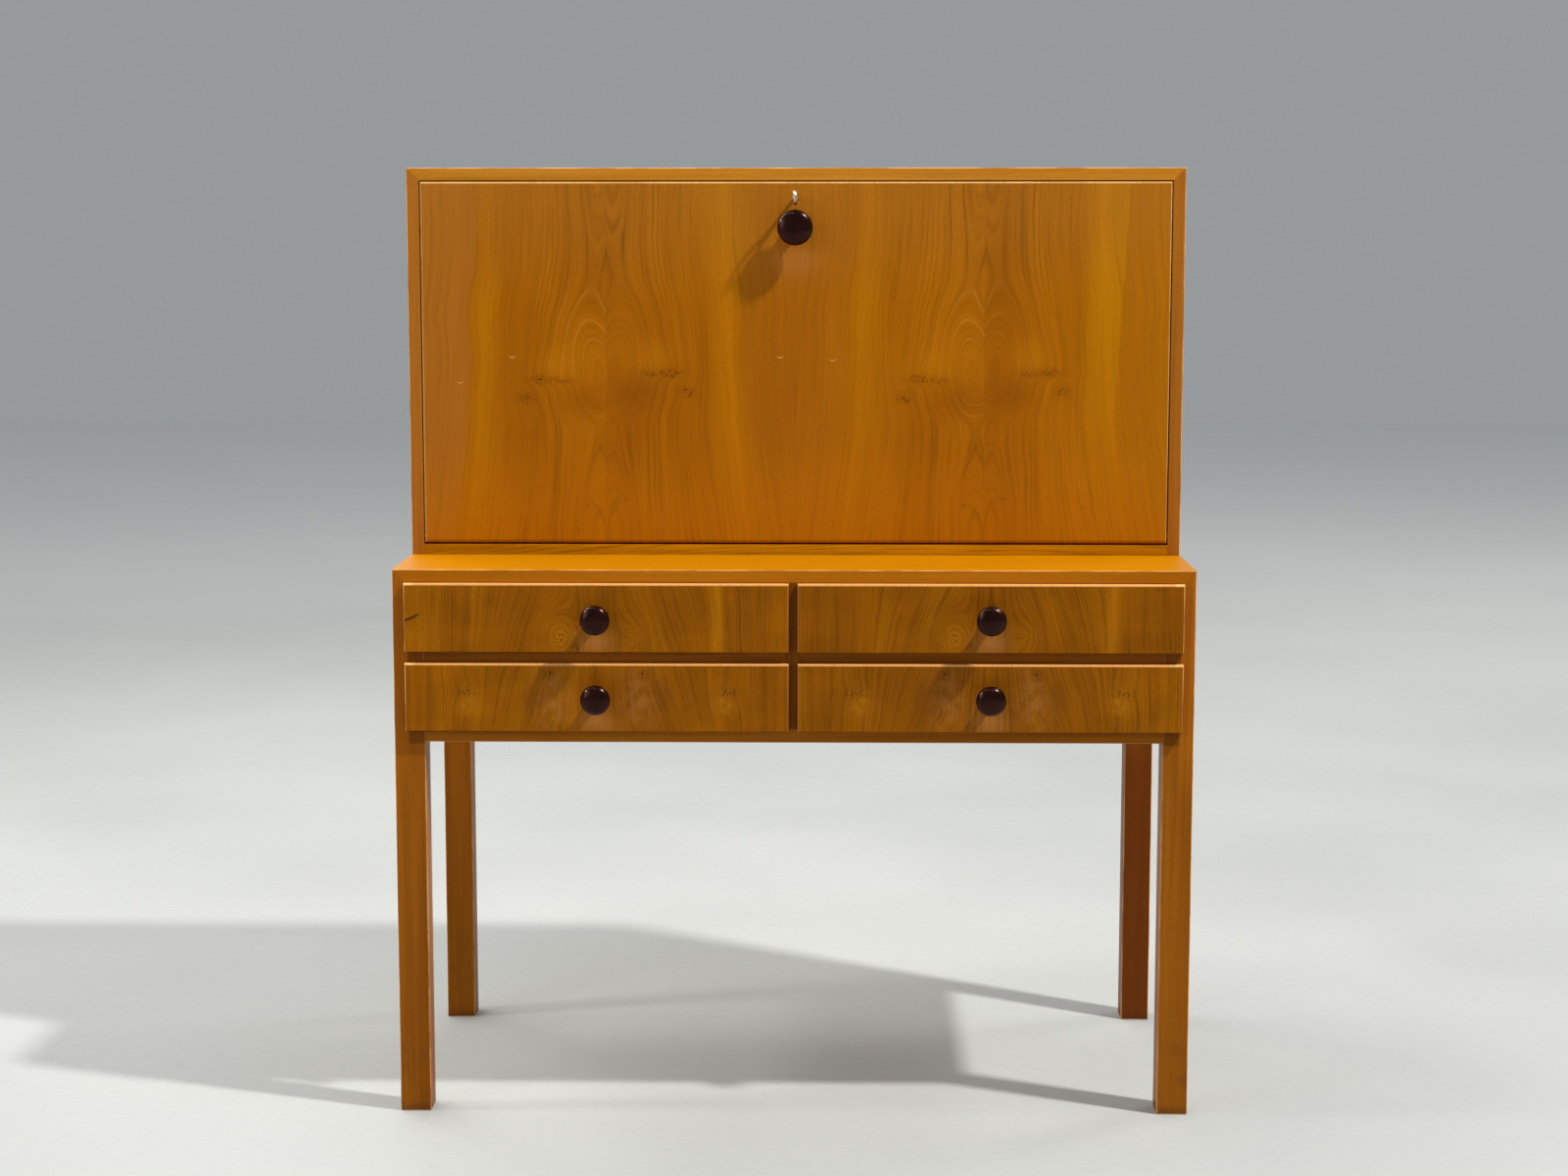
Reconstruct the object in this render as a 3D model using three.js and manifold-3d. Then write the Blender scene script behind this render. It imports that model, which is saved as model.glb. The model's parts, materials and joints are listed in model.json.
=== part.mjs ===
// Secretary desk: a base with four drawers on square legs, and an upper case closed by a
// fall front that opens down into a writing surface. Millimetres, +Z up, +X to the right,
// -Y towards the person using it. Y counts from the front face of the front legs while the
// desk is put together, and the whole desk is then centred on the origin, feet on Z = 0.
import * as THREE from "three";
import { mergeVertices } from "three/addons/utils/BufferGeometryUtils.js";
import Module from "manifold-3d";

const wasm = await Module();
wasm.setup();

// ---- driving dimensions -------------------------------------------------------------
const WIDTH = 1030;
const DEPTH = 484;
const HEIGHT = 1230;
const LEDGE = 716; // top face of the base, which the upper case stands on
const BASE_UNDERSIDE = 492;
const SETBACK = 174; // the upper case's front stands this far behind the legs' front
const LEG = 40;
const BASE_BOARD = 16; // base top and base sides
const CASE_BOARD = 16.5; // upper case top and sides
const GLUE = 0.2; // gap between boards that are glued or rest on each other
const BACK_PANEL = 8;
const BACK_INSET = 2;

const BOTTOM_RAIL = { height: 18, depth: 22 };
const DUST_PANEL = 8;
const MID_BOARD = { bottom: 594.5, top: 612 };
const PARTITION = 18;

const DRAWER_FRONT = {
  outer: 499.5, // edge next to the leg, from the desk's centre
  inner: 5.75, // edge next to the partition
  height: 87.8,
  proud: 9.5, // stands in front of the legs' front face
  lipGap: 0.5, // between the lip and the frame behind it
  inside: 10, // how far the rebated part reaches into the case
};
const UPPER_FRONT_TOP = 698.4;
const LOWER_FRONT_TOP = 595.6;
const DRAWER = {
  slack: 1.5, // beside the box
  floorSlack: 0.5,
  headroom: 6,
  side: 10,
  length: 420,
  bottom: 5,
  bottomUp: 6,
};

const FALL = {
  thickness: 18,
  sideGap: 1.5,
  bottom: 732.2,
  top: 1212,
  lowerRound: 5, // rounding of the two long lower edges, which swing past the rail
};
const RAIL_TOP = 730; // top of the upper case's bottom board, whose edge is the rail
const AXIS = { y: SETBACK + FALL.thickness / 2, z: FALL.bottom + FALL.thickness / 2 };
const PIVOT = { radius: 3, slack: 0.25, length: 12.5, plate: 1.9, plateY: 13.6, plateZ: 43.2 };

const FLOOR_TOP = FALL.bottom + FALL.thickness - GLUE; // level with the open fall
const FLOOR_FRONT = 194.3;
const PIGEON = { half: 482, front: 300, wall: 10, height: 250, top: 12, dividerX: 160 };

const QUADRANT = {
  radius: 150,
  width: 8,
  thickness: 2.5,
  x: 488.5, // inner face
  start: 3.4, // degrees from vertical, towards the back
  end: 98.4,
  stop: 97.6,
  stopRadius: 2,
  stopLength: 8,
  footWidth: 11,
  footHeight: 40,
  footThickness: 2.4,
};
const GUIDE = { angle: 5.75, length: 5.4, height: 18, slack: 0.7, inner: 485.5 };
const QUADRANT_SLOT = { x0: 484.5, x1: 495, y0: 325.5, y1: 339 };

const LOCK = { half: 32, height: 38, depth: 10, axisDown: 21, cavity: 9.5 };
const KEY = { shank: 2.5, proud: 42, bowLength: 24, bowHeight: 20, bowWire: 2.2, bit: 8.5 };
const KEYHOLE = { radius: 3.4, slot: 4.6, drop: 9.6 };
const BOLT = { half: 13, thickness: 3.6, height: 15, slack: 0.3 };
const STRIKE = { half: 25, depth: 16, thickness: 1.5, mortise: 9.5 };

const FALL_KNOB = { diameter: 47, height: 30, belowTop: 60.5 };
const DRAWER_KNOB = { diameter: 38.5, height: 30 };
const SPIGOT = { radius: 4, length: 8, slack: 0.3 };

// ---- materials ----------------------------------------------------------------------
function wood(colour, roughness = 0.42) {
  return new THREE.MeshStandardMaterial({ color: colour, roughness, metalness: 0 });
}
const CASE_VENEER = wood(0xb4701c);
const FALL_VENEER = wood(0xb2690f);
const DRAWER_VENEER = wood(0x8e5210);
const LEG_WOOD = wood(0x8c5014, 0.5);
const INNER_WOOD = wood(0xa8793c, 0.6);
const DRAWER_LINING = wood(0xc9a46a, 0.65);
const KNOB_LACQUER = wood(0x2a0f0c, 0.22);
const BRASS = new THREE.MeshStandardMaterial({ color: 0xb58b3c, roughness: 0.35, metalness: 1 });
const STEEL = new THREE.MeshStandardMaterial({ color: 0x9a958c, roughness: 0.35, metalness: 1 });

// ---- making solids ------------------------------------------------------------------
const desk = new THREE.Group();

function add(name, material, geometry) {
  const mesh = new THREE.Mesh(geometry, material);
  mesh.name = name;
  desk.add(mesh);
}

// A box between two opposite corners.
function block(x0, x1, y0, y1, z0, z1) {
  const box = new THREE.BoxGeometry(Math.abs(x1 - x0), y1 - y0, z1 - z0);
  return box.translate((x0 + x1) / 2, (y0 + y1) / 2, (z0 + z1) / 2);
}

function shapeOf(points) {
  return new THREE.Shape(points.map(([a, b]) => new THREE.Vector2(a, b)));
}

function extrude(shape, depth, segments = 12) {
  return new THREE.ExtrudeGeometry(shape, { depth, bevelEnabled: false, curveSegments: segments });
}

// An outline seen from the front (X, Z), running from y0 back to y1.
function frontOutline(points, y0, y1) {
  return extrude(shapeOf(points), y1 - y0).rotateX(Math.PI / 2).translate(0, y1, 0);
}

// An outline seen from above (X, Y), running from z0 up to z1.
function planOutline(points, z0, z1) {
  return extrude(shapeOf(points), z1 - z0).translate(0, 0, z0);
}

// An outline seen from the side (Y, Z), running from x0 to x1.
function sideOutline(shape, x0, x1, segments) {
  const toSide = new THREE.Matrix4().makeBasis(
    new THREE.Vector3(0, 1, 0),
    new THREE.Vector3(0, 0, 1),
    new THREE.Vector3(1, 0, 0),
  );
  return extrude(shape, x1 - x0, segments).applyMatrix4(toSide).translate(x0, 0, 0);
}

// A round bar along X or Y between two ends.
function bar(axis, radius, from, to, at, segments = 24) {
  const rod = new THREE.CylinderGeometry(radius, radius, to - from, segments);
  if (axis === "x") {
    return rod.rotateZ(Math.PI / 2).translate((from + to) / 2, at[0], at[1]);
  }
  return rod.translate(at[0], (from + to) / 2, at[1]);
}

function toSolid(geometry) {
  const plain = geometry.clone();
  plain.deleteAttribute("normal");
  plain.deleteAttribute("uv");
  const merged = mergeVertices(plain, 1e-4);
  return new wasm.Manifold(
    new wasm.Mesh({
      numProp: 3,
      vertProperties: new Float32Array(merged.attributes.position.array),
      triVerts: new Uint32Array(merged.index.array),
    }),
  );
}

function toGeometry(solid) {
  const mesh = solid.getMesh();
  const geometry = new THREE.BufferGeometry();
  geometry.setAttribute("position", new THREE.BufferAttribute(mesh.vertProperties, 3));
  geometry.setIndex(new THREE.BufferAttribute(mesh.triVerts, 1));
  geometry.computeVertexNormals();
  return geometry;
}

function join(...pieces) {
  return toGeometry(pieces.map(toSolid).reduce((whole, next) => whole.add(next)));
}

function cut(piece, ...tools) {
  return toGeometry(tools.map(toSolid).reduce((left, tool) => left.subtract(tool), toSolid(piece)));
}

const half = WIDTH / 2;
const SIDES = [
  { name: "left", sign: -1 },
  { name: "right", sign: 1 },
];

function mirrored(points, sign) {
  return points.map(([x, other]) => [x * sign, other]);
}

// ---- knobs --------------------------------------------------------------------------
// A turned mushroom knob on a spigot; its foot stands on the face at y, facing -Y.
function knob(diameter, height, x, y, z) {
  const r = diameter / 2;
  const profile = [
    [0, -SPIGOT.length],
    [SPIGOT.radius, -SPIGOT.length],
    [SPIGOT.radius, GLUE],
    [r * 0.5, GLUE],
    [r * 0.5, height * 0.07],
    [r * 0.42, height * 0.17],
    [r * 0.38, height * 0.34],
    [r * 0.46, height * 0.47],
    [r * 0.78, height * 0.54],
    [r * 0.96, height * 0.6],
    [r, height * 0.7],
    [r * 0.95, height * 0.8],
    [r * 0.76, height * 0.91],
    [r * 0.42, height * 0.98],
    [0, height],
  ].map(([radius, along]) => new THREE.Vector2(radius, along));
  return new THREE.LatheGeometry(profile, 28).rotateX(Math.PI).translate(x, y, z);
}

function knobHole(x, y, z) {
  return bar("y", SPIGOT.radius + SPIGOT.slack, y - 1, y + SPIGOT.length + 0.6, [x, z]);
}

// ---- base ---------------------------------------------------------------------------
const legInner = half - LEG;
const sideInner = half - BASE_BOARD;
const rearLegFront = DEPTH - LEG;
const backFace = DEPTH - BACK_INSET;
const backFront = backFace - BACK_PANEL;
const baseTopUnder = LEDGE - BASE_BOARD;

function legs() {
  const outline = [
    [legInner, 0],
    [half, 0],
    [half, LEDGE - GLUE],
    [sideInner, baseTopUnder - GLUE],
    [legInner, baseTopUnder - GLUE],
  ];
  for (const { name, sign } of SIDES) {
    add(`leg_front_${name}`, LEG_WOOD, frontOutline(mirrored(outline, sign), 0, LEG));
    add(`leg_rear_${name}`, LEG_WOOD, frontOutline(mirrored(outline, sign), rearLegFront, DEPTH));
  }
}

// The base's top is mitred to its sides, and to the legs at the corners.
function baseTop() {
  const outline = [
    [-half, LEDGE],
    [-sideInner, baseTopUnder],
    [sideInner, baseTopUnder],
    [half, LEDGE],
  ];
  add("base_top", CASE_VENEER, frontOutline(outline, 0, DEPTH));
}

function baseSides() {
  const outline = [
    [sideInner, BASE_UNDERSIDE],
    [half, BASE_UNDERSIDE],
    [half, LEDGE - GLUE],
    [sideInner, baseTopUnder - GLUE],
  ];
  for (const { name, sign } of SIDES) {
    const panel = frontOutline(mirrored(outline, sign), LEG + GLUE, rearLegFront - GLUE);
    add(`base_side_${name}`, CASE_VENEER, panel);
  }
}

// A level board that fills the base between x0 and the side panel, cut round the legs.
function boardRoundLegs(x0, y0, z0, z1, sign) {
  const outline = [
    [x0, y0],
    [legInner - GLUE, y0],
    [legInner - GLUE, LEG + GLUE],
    [sideInner - GLUE, LEG + GLUE],
    [sideInner - GLUE, rearLegFront - GLUE],
    [legInner - GLUE, rearLegFront - GLUE],
    [legInner - GLUE, backFront - GLUE],
    [x0, backFront - GLUE],
  ];
  return planOutline(mirrored(outline, sign), z0, z1);
}

function baseInside() {
  const railTop = BASE_UNDERSIDE + BOTTOM_RAIL.height;
  const railEnd = legInner - GLUE;
  const partitionHalf = PARTITION / 2;
  add(
    "base_bottom_rail",
    LEG_WOOD,
    block(-railEnd, railEnd, 0, BOTTOM_RAIL.depth, BASE_UNDERSIDE, railTop),
  );
  const panelFront = BOTTOM_RAIL.depth + GLUE;
  const panelBottom = railTop - DUST_PANEL;
  const halves = SIDES.map(({ sign }) => boardRoundLegs(0, panelFront, panelBottom, railTop, sign));
  add("base_bottom_panel", INNER_WOOD, join(...halves));
  add(
    "base_partition",
    LEG_WOOD,
    block(-partitionHalf, partitionHalf, 0, backFront - GLUE, railTop + GLUE, baseTopUnder - GLUE),
  );
  for (const { name, sign } of SIDES) {
    const board = boardRoundLegs(partitionHalf + GLUE, 0, MID_BOARD.bottom, MID_BOARD.top, sign);
    add(`mid_board_${name}`, LEG_WOOD, board);
  }
  add(
    "base_back",
    INNER_WOOD,
    block(-railEnd, railEnd, backFront, backFace, BASE_UNDERSIDE, baseTopUnder - GLUE),
  );
}

// ---- drawers ------------------------------------------------------------------------
function drawer(level, side, opening, frontTop) {
  const name = `drawer_${level}_${side.name}`;
  const lining = (part, x0, x1, ...rest) =>
    add(`${name}_${part}`, DRAWER_LINING, block(x0 * side.sign, x1 * side.sign, ...rest));
  const F = DRAWER_FRONT;
  const near = PARTITION / 2 + DRAWER.slack;
  const far = legInner - DRAWER.slack;
  const frontBottom = frontTop - F.height;
  const knobAt = [((F.inner + F.outer) / 2) * side.sign, -F.proud, (frontTop + frontBottom) / 2];

  const across = (x0, x1, ...rest) => block(x0 * side.sign, x1 * side.sign, ...rest);
  const face = across(F.inner, F.outer, -F.proud, -F.lipGap, frontBottom, frontTop);
  const rebated = across(near, far, -F.lipGap - 1, F.inside, opening.z0 + 1, opening.z1 - 1);
  add(`${name}_front`, DRAWER_VENEER, cut(join(face, rebated), knobHole(...knobAt)));
  add(`${name}_knob`, KNOB_LACQUER, knob(DRAWER_KNOB.diameter, DRAWER_KNOB.height, ...knobAt));

  const y0 = F.inside + GLUE;
  const y1 = y0 + DRAWER.length;
  const z0 = opening.z0 + DRAWER.floorSlack;
  const z1 = opening.z1 - DRAWER.headroom;
  const panelZ = z0 + DRAWER.bottomUp;
  const insideNear = near + DRAWER.side + GLUE;
  const insideFar = far - DRAWER.side - GLUE;
  const backBottom = panelZ + DRAWER.bottom + GLUE;
  lining("side_inner", near, near + DRAWER.side, y0, y1, z0, z1);
  lining("side_outer", far - DRAWER.side, far, y0, y1, z0, z1);
  lining("back", insideNear, insideFar, y1 - DRAWER.side, y1, backBottom, z1);
  lining("bottom", insideNear, insideFar, y0, y1, panelZ, panelZ + DRAWER.bottom);
}

function drawers() {
  const railTop = BASE_UNDERSIDE + BOTTOM_RAIL.height;
  for (const side of SIDES) {
    drawer("upper", side, { z0: MID_BOARD.top, z1: baseTopUnder }, UPPER_FRONT_TOP);
    drawer("lower", side, { z0: railTop, z1: MID_BOARD.bottom }, LOWER_FRONT_TOP);
  }
}

// ---- upper case ---------------------------------------------------------------------
const caseInner = half - CASE_BOARD;
const caseTopUnder = HEIGHT - CASE_BOARD;
const lockAxisZ = FALL.top - LOCK.axisDown;
const boltY = AXIS.y + 3.5; // front face of the bolt

function caseTop() {
  const outline = [
    [-half, HEIGHT],
    [-caseInner, caseTopUnder],
    [caseInner, caseTopUnder],
    [half, HEIGHT],
  ];
  const strikeY = boltY + BOLT.thickness / 2;
  const bed = block(
    -STRIKE.half - GLUE,
    STRIKE.half + GLUE,
    strikeY - STRIKE.depth / 2 - GLUE,
    strikeY + STRIKE.depth / 2 + GLUE,
    caseTopUnder - 1,
    caseTopUnder + STRIKE.thickness + GLUE,
  );
  const pocket = (z0, z1) =>
    block(-BOLT.half - 1.5, BOLT.half + 1.5, boltY - 1.5, boltY + BOLT.thickness + 1.5, z0, z1);
  const board = frontOutline(outline, SETBACK, DEPTH);
  const mortise = pocket(caseTopUnder - 1, caseTopUnder + STRIKE.mortise);
  add("case_top", CASE_VENEER, cut(board, bed, mortise));

  const plate = block(
    -STRIKE.half,
    STRIKE.half,
    strikeY - STRIKE.depth / 2,
    strikeY + STRIKE.depth / 2,
    caseTopUnder,
    caseTopUnder + STRIKE.thickness,
  );
  add("strike_plate", BRASS, cut(plate, pocket(caseTopUnder - 1, caseTopUnder + STRIKE.thickness + 1)));
}

function caseSides() {
  const outline = [
    [caseInner, LEDGE + GLUE],
    [half, LEDGE + GLUE],
    [half, HEIGHT - GLUE],
    [caseInner, caseTopUnder - GLUE],
  ];
  for (const { name, sign } of SIDES) {
    const plateAt = (x0, x1, grow) =>
      block(
        x0 * sign,
        x1 * sign,
        AXIS.y - PIVOT.plateY / 2 - grow,
        AXIS.y + PIVOT.plateY / 2 + grow,
        FALL.bottom - grow,
        FALL.bottom + PIVOT.plateZ + grow,
      );
    const panel = frontOutline(mirrored(outline, sign), SETBACK, DEPTH);
    const bed = plateAt(caseInner - 1, caseInner + PIVOT.plate + 2 * GLUE, GLUE);
    add(`case_side_${name}`, CASE_VENEER, cut(panel, bed));

    const plate = plateAt(caseInner, caseInner + PIVOT.plate, 0);
    const ends = [(caseInner + 1) * sign, (caseInner - PIVOT.length) * sign].sort((a, b) => a - b);
    const pin = bar("x", PIVOT.radius, ...ends, [AXIS.y, AXIS.z]);
    add(`pivot_plate_${name}`, BRASS, join(plate, pin));
  }
}

function quadrantSlots(z0, z1) {
  const S = QUADRANT_SLOT;
  return SIDES.map(({ sign }) => block(S.x0 * sign, S.x1 * sign, S.y0, S.y1, z0 - 1, z1 + 1));
}

function caseInside() {
  const inner = caseInner - GLUE;
  const boardBack = backFront - GLUE;
  const bottom = block(-inner, inner, SETBACK, boardBack, LEDGE + GLUE, RAIL_TOP);
  add("case_bottom", CASE_VENEER, cut(bottom, ...quadrantSlots(LEDGE, RAIL_TOP)));
  const floor = block(-inner, inner, FLOOR_FRONT, boardBack, RAIL_TOP + GLUE, FLOOR_TOP);
  add("desk_floor", INNER_WOOD, cut(floor, ...quadrantSlots(RAIL_TOP, FLOOR_TOP)));
  const panel = block(-inner, inner, backFront, backFace, LEDGE + GLUE, caseTopUnder - GLUE);
  add("case_back", INNER_WOOD, panel);
}

function pigeonholes() {
  const P = PIGEON;
  const back = backFront - 2 * GLUE;
  const z0 = FLOOR_TOP + GLUE;
  const z1 = z0 + P.height;
  for (const { name, sign } of SIDES) {
    const wall = (x) => block(x * sign, (x + P.wall) * sign, P.front, back, z0, z1);
    add(`pigeonhole_end_${name}`, INNER_WOOD, wall(P.half - P.wall));
    add(`pigeonhole_divider_${name}`, INNER_WOOD, wall(P.dividerX));
  }
  add("pigeonhole_top", INNER_WOOD, block(-P.half, P.half, P.front, back, z1 + GLUE, z1 + GLUE + P.top));
}

// ---- fall front, its lock and its stays -----------------------------------------------
function keyhole(y0, y1) {
  return [
    bar("y", KEYHOLE.radius, y0, y1, [0, lockAxisZ]),
    block(-KEYHOLE.slot / 2, KEYHOLE.slot / 2, y0, y1, lockAxisZ - KEYHOLE.drop, lockAxisZ),
  ];
}

function fallFront() {
  const y0 = SETBACK;
  const y1 = SETBACK + FALL.thickness;
  const r = FALL.lowerRound;
  const end = caseInner - FALL.sideGap;
  const profile = new THREE.Shape();
  profile.moveTo(y0 + r, FALL.bottom);
  profile.lineTo(y1 - r, FALL.bottom);
  profile.absarc(y1 - r, FALL.bottom + r, r, -Math.PI / 2, 0);
  profile.lineTo(y1, FALL.top);
  profile.lineTo(y0, FALL.top);
  profile.absarc(y0 + r, FALL.bottom + r, r, Math.PI, 1.5 * Math.PI);
  const panel = sideOutline(profile, -end, end, 6);

  const holeRadius = PIVOT.radius + PIVOT.slack;
  const holeDepth = PIVOT.length + 1;
  const pivotHoles = [
    bar("x", holeRadius, -end - 1, -end + holeDepth, [AXIS.y, AXIS.z]),
    bar("x", holeRadius, end - holeDepth, end + 1, [AXIS.y, AXIS.z]),
  ];
  const lockBed = block(
    -LOCK.half - GLUE,
    LOCK.half + GLUE,
    y1 - LOCK.depth,
    y1 + 1,
    FALL.top - LOCK.height - GLUE,
    FALL.top + 1,
  );
  const knobZ = FALL.top - FALL_KNOB.belowTop;
  const openings = [...pivotHoles, lockBed, ...keyhole(y0 - 1, y1 - 1), knobHole(0, y0, knobZ)];
  add("fall_front", FALL_VENEER, cut(panel, ...openings));
  add("fall_knob", KNOB_LACQUER, knob(FALL_KNOB.diameter, FALL_KNOB.height, 0, y0, knobZ));
}

function lock() {
  const y0 = SETBACK + FALL.thickness - LOCK.depth + GLUE;
  const y1 = SETBACK + FALL.thickness - GLUE;
  const z0 = FALL.top - LOCK.height;
  const z1 = FALL.top - GLUE;
  const boltBottom = FALL.top - BOLT.height - GLUE;
  const body = block(-LOCK.half, LOCK.half, y0, y1, z0, z1);
  const channel = block(
    -BOLT.half - BOLT.slack,
    BOLT.half + BOLT.slack,
    boltY - BOLT.slack,
    boltY + BOLT.thickness + BOLT.slack,
    boltBottom - BOLT.slack,
    z1 + 1,
  );
  const cavity = bar("y", LOCK.cavity, y0 + 1.2, boltY - 0.8, [0, lockAxisZ]);
  const bore = bar("y", KEYHOLE.radius, y0 - 1, boltY + 1.6, [0, lockAxisZ]);
  add("lock_case", STEEL, cut(body, channel, cavity, bore, ...keyhole(y0 - 1, y0 + 2)));
  add("lock_bolt", BRASS, block(-BOLT.half, BOLT.half, boltY, boltY + BOLT.thickness, boltBottom, z1));

  const outer = SETBACK - KEY.proud;
  const ring = KEY.bowHeight / 2 - KEY.bowWire;
  const bow = new THREE.TorusGeometry(ring, KEY.bowWire, 8, 24);
  bow.scale(1, (KEY.bowLength / 2 - KEY.bowWire) / ring, 1).rotateY(Math.PI / 2);
  bow.translate(0, outer + KEY.bowLength / 2, lockAxisZ);
  const shankFront = outer + KEY.bowLength - 1.5;
  const shank = bar("y", KEY.shank, shankFront, boltY + 0.6, [0, lockAxisZ], 16);
  const collar = bar("y", KEY.shank + 1.2, shankFront + 1, shankFront + 4, [0, lockAxisZ], 16);
  const bit = block(-1.6, 1.6, y0 + 1.7, boltY - 1.2, lockAxisZ - KEY.bit, lockAxisZ);
  add("key", STEEL, join(bow, shank, collar, bit));
}

// A point at this radius and angle from the fall's axis, as [y, z]; 0 is straight up and
// the angle grows towards the back.
function aroundAxis(radius, degrees) {
  const angle = THREE.MathUtils.degToRad(degrees);
  return [AXIS.y + radius * Math.sin(angle), AXIS.z + radius * Math.cos(angle)];
}

function stays() {
  const Q = QUADRANT;
  const fromVertical = (degrees) => Math.PI / 2 - THREE.MathUtils.degToRad(degrees);
  const arc = new THREE.Shape();
  const [low, high] = [fromVertical(Q.end), fromVertical(Q.start)];
  arc.absarc(AXIS.y, AXIS.z, Q.radius + Q.width / 2, low, high, false);
  arc.absarc(AXIS.y, AXIS.z, Q.radius - Q.width / 2, high, low, true);
  const innerFace = SETBACK + FALL.thickness;
  const footZ = aroundAxis(Q.radius, Q.start)[1];
  for (const { name, sign } of SIDES) {
    const xs = [Q.x * sign, (Q.x + Q.thickness) * sign].sort((a, b) => a - b);
    const middle = (xs[0] + xs[1]) / 2;
    const blade = cut(
      sideOutline(arc, ...xs, 24),
      block(xs[0] - 1, xs[1] + 1, innerFace - Q.width, innerFace + GLUE, footZ - 20, footZ + 20),
    );
    const foot = block(
      middle - Q.footWidth / 2,
      middle + Q.footWidth / 2,
      innerFace + GLUE,
      innerFace + Q.footThickness,
      footZ - Q.footHeight / 2,
      footZ + Q.footHeight / 2,
    );
    const stopEnds = [middle - Q.stopLength / 2, middle + Q.stopLength / 2];
    const stop = bar("x", Q.stopRadius, ...stopEnds, aroundAxis(Q.radius, Q.stop), 12);
    add(`quadrant_${name}`, BRASS, join(blade, foot, stop));

    const inner = GUIDE.inner - caseInner;
    const [reach, rise] = [GUIDE.length / 2, GUIDE.height / 2];
    const body = block(inner * sign, -GLUE * sign, -reach, reach, -rise, rise);
    const slotX0 = (Q.x - GUIDE.slack - caseInner) * sign;
    const slotX1 = (Q.x + Q.thickness + GUIDE.slack - caseInner) * sign;
    const slotRise = Q.width / 2 + GUIDE.slack;
    const slot = block(slotX0, slotX1, -2 * reach, 2 * reach, -slotRise, slotRise);
    const [y, z] = aroundAxis(Q.radius, GUIDE.angle);
    const guide = cut(body, slot).rotateX(-THREE.MathUtils.degToRad(GUIDE.angle));
    add(`stay_guide_${name}`, BRASS, guide.translate(caseInner * sign, y, z));
  }
}

legs();
baseTop();
baseSides();
baseInside();
drawers();
caseTop();
caseSides();
caseInside();
pigeonholes();
fallFront();
lock();
stays();

// The desk's box runs from the drawer knobs to the back; the origin is under its middle.
const frontmost = -DRAWER_FRONT.proud - DRAWER_KNOB.height;
desk.position.y = -(frontmost + DEPTH) / 2;

export default desk;
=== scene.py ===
"""A secretary desk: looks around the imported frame. Metres, +Z up, the desk's front faces -Y."""
import json
import math
import random

import bmesh
import bpy
from mathutils import Matrix, Vector


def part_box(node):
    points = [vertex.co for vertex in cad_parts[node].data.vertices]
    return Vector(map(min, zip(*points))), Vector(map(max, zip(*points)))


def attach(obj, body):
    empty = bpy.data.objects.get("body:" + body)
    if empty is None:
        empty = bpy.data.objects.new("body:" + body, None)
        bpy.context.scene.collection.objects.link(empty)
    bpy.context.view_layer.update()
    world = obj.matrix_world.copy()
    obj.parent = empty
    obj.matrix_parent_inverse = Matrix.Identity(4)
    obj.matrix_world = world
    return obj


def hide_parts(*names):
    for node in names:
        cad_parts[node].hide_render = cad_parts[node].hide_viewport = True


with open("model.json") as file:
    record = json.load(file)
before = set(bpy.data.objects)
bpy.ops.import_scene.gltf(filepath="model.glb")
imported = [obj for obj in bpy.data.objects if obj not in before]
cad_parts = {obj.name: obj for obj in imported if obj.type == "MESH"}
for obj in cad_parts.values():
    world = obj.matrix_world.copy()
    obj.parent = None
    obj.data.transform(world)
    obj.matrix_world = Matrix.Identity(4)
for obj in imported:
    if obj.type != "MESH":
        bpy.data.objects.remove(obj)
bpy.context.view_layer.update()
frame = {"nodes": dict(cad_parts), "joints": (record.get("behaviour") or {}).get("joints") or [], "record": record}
record = frame["record"]
nodes = frame["nodes"]
BODY_OF = {node: body for body, members in record["behaviour"]["bodies"].items() for node in members}
SIDES = {"left": -1, "right": 1}
MM = 0.001


# ---- shader arithmetic ------------------------------------------------------------------
def plug(tree, value, socket):
    """Links a Number or a socket to a socket, or sets a plain value on it."""
    value = value.socket if isinstance(value, Number) else value
    if isinstance(value, bpy.types.NodeSocket):
        tree.links.new(value, socket)
    else:
        socket.default_value = value


def rgba(colour):
    """A plain colour with alpha added; a socket stays as it is."""
    return (*colour, 1) if isinstance(colour, tuple) else colour


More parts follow.
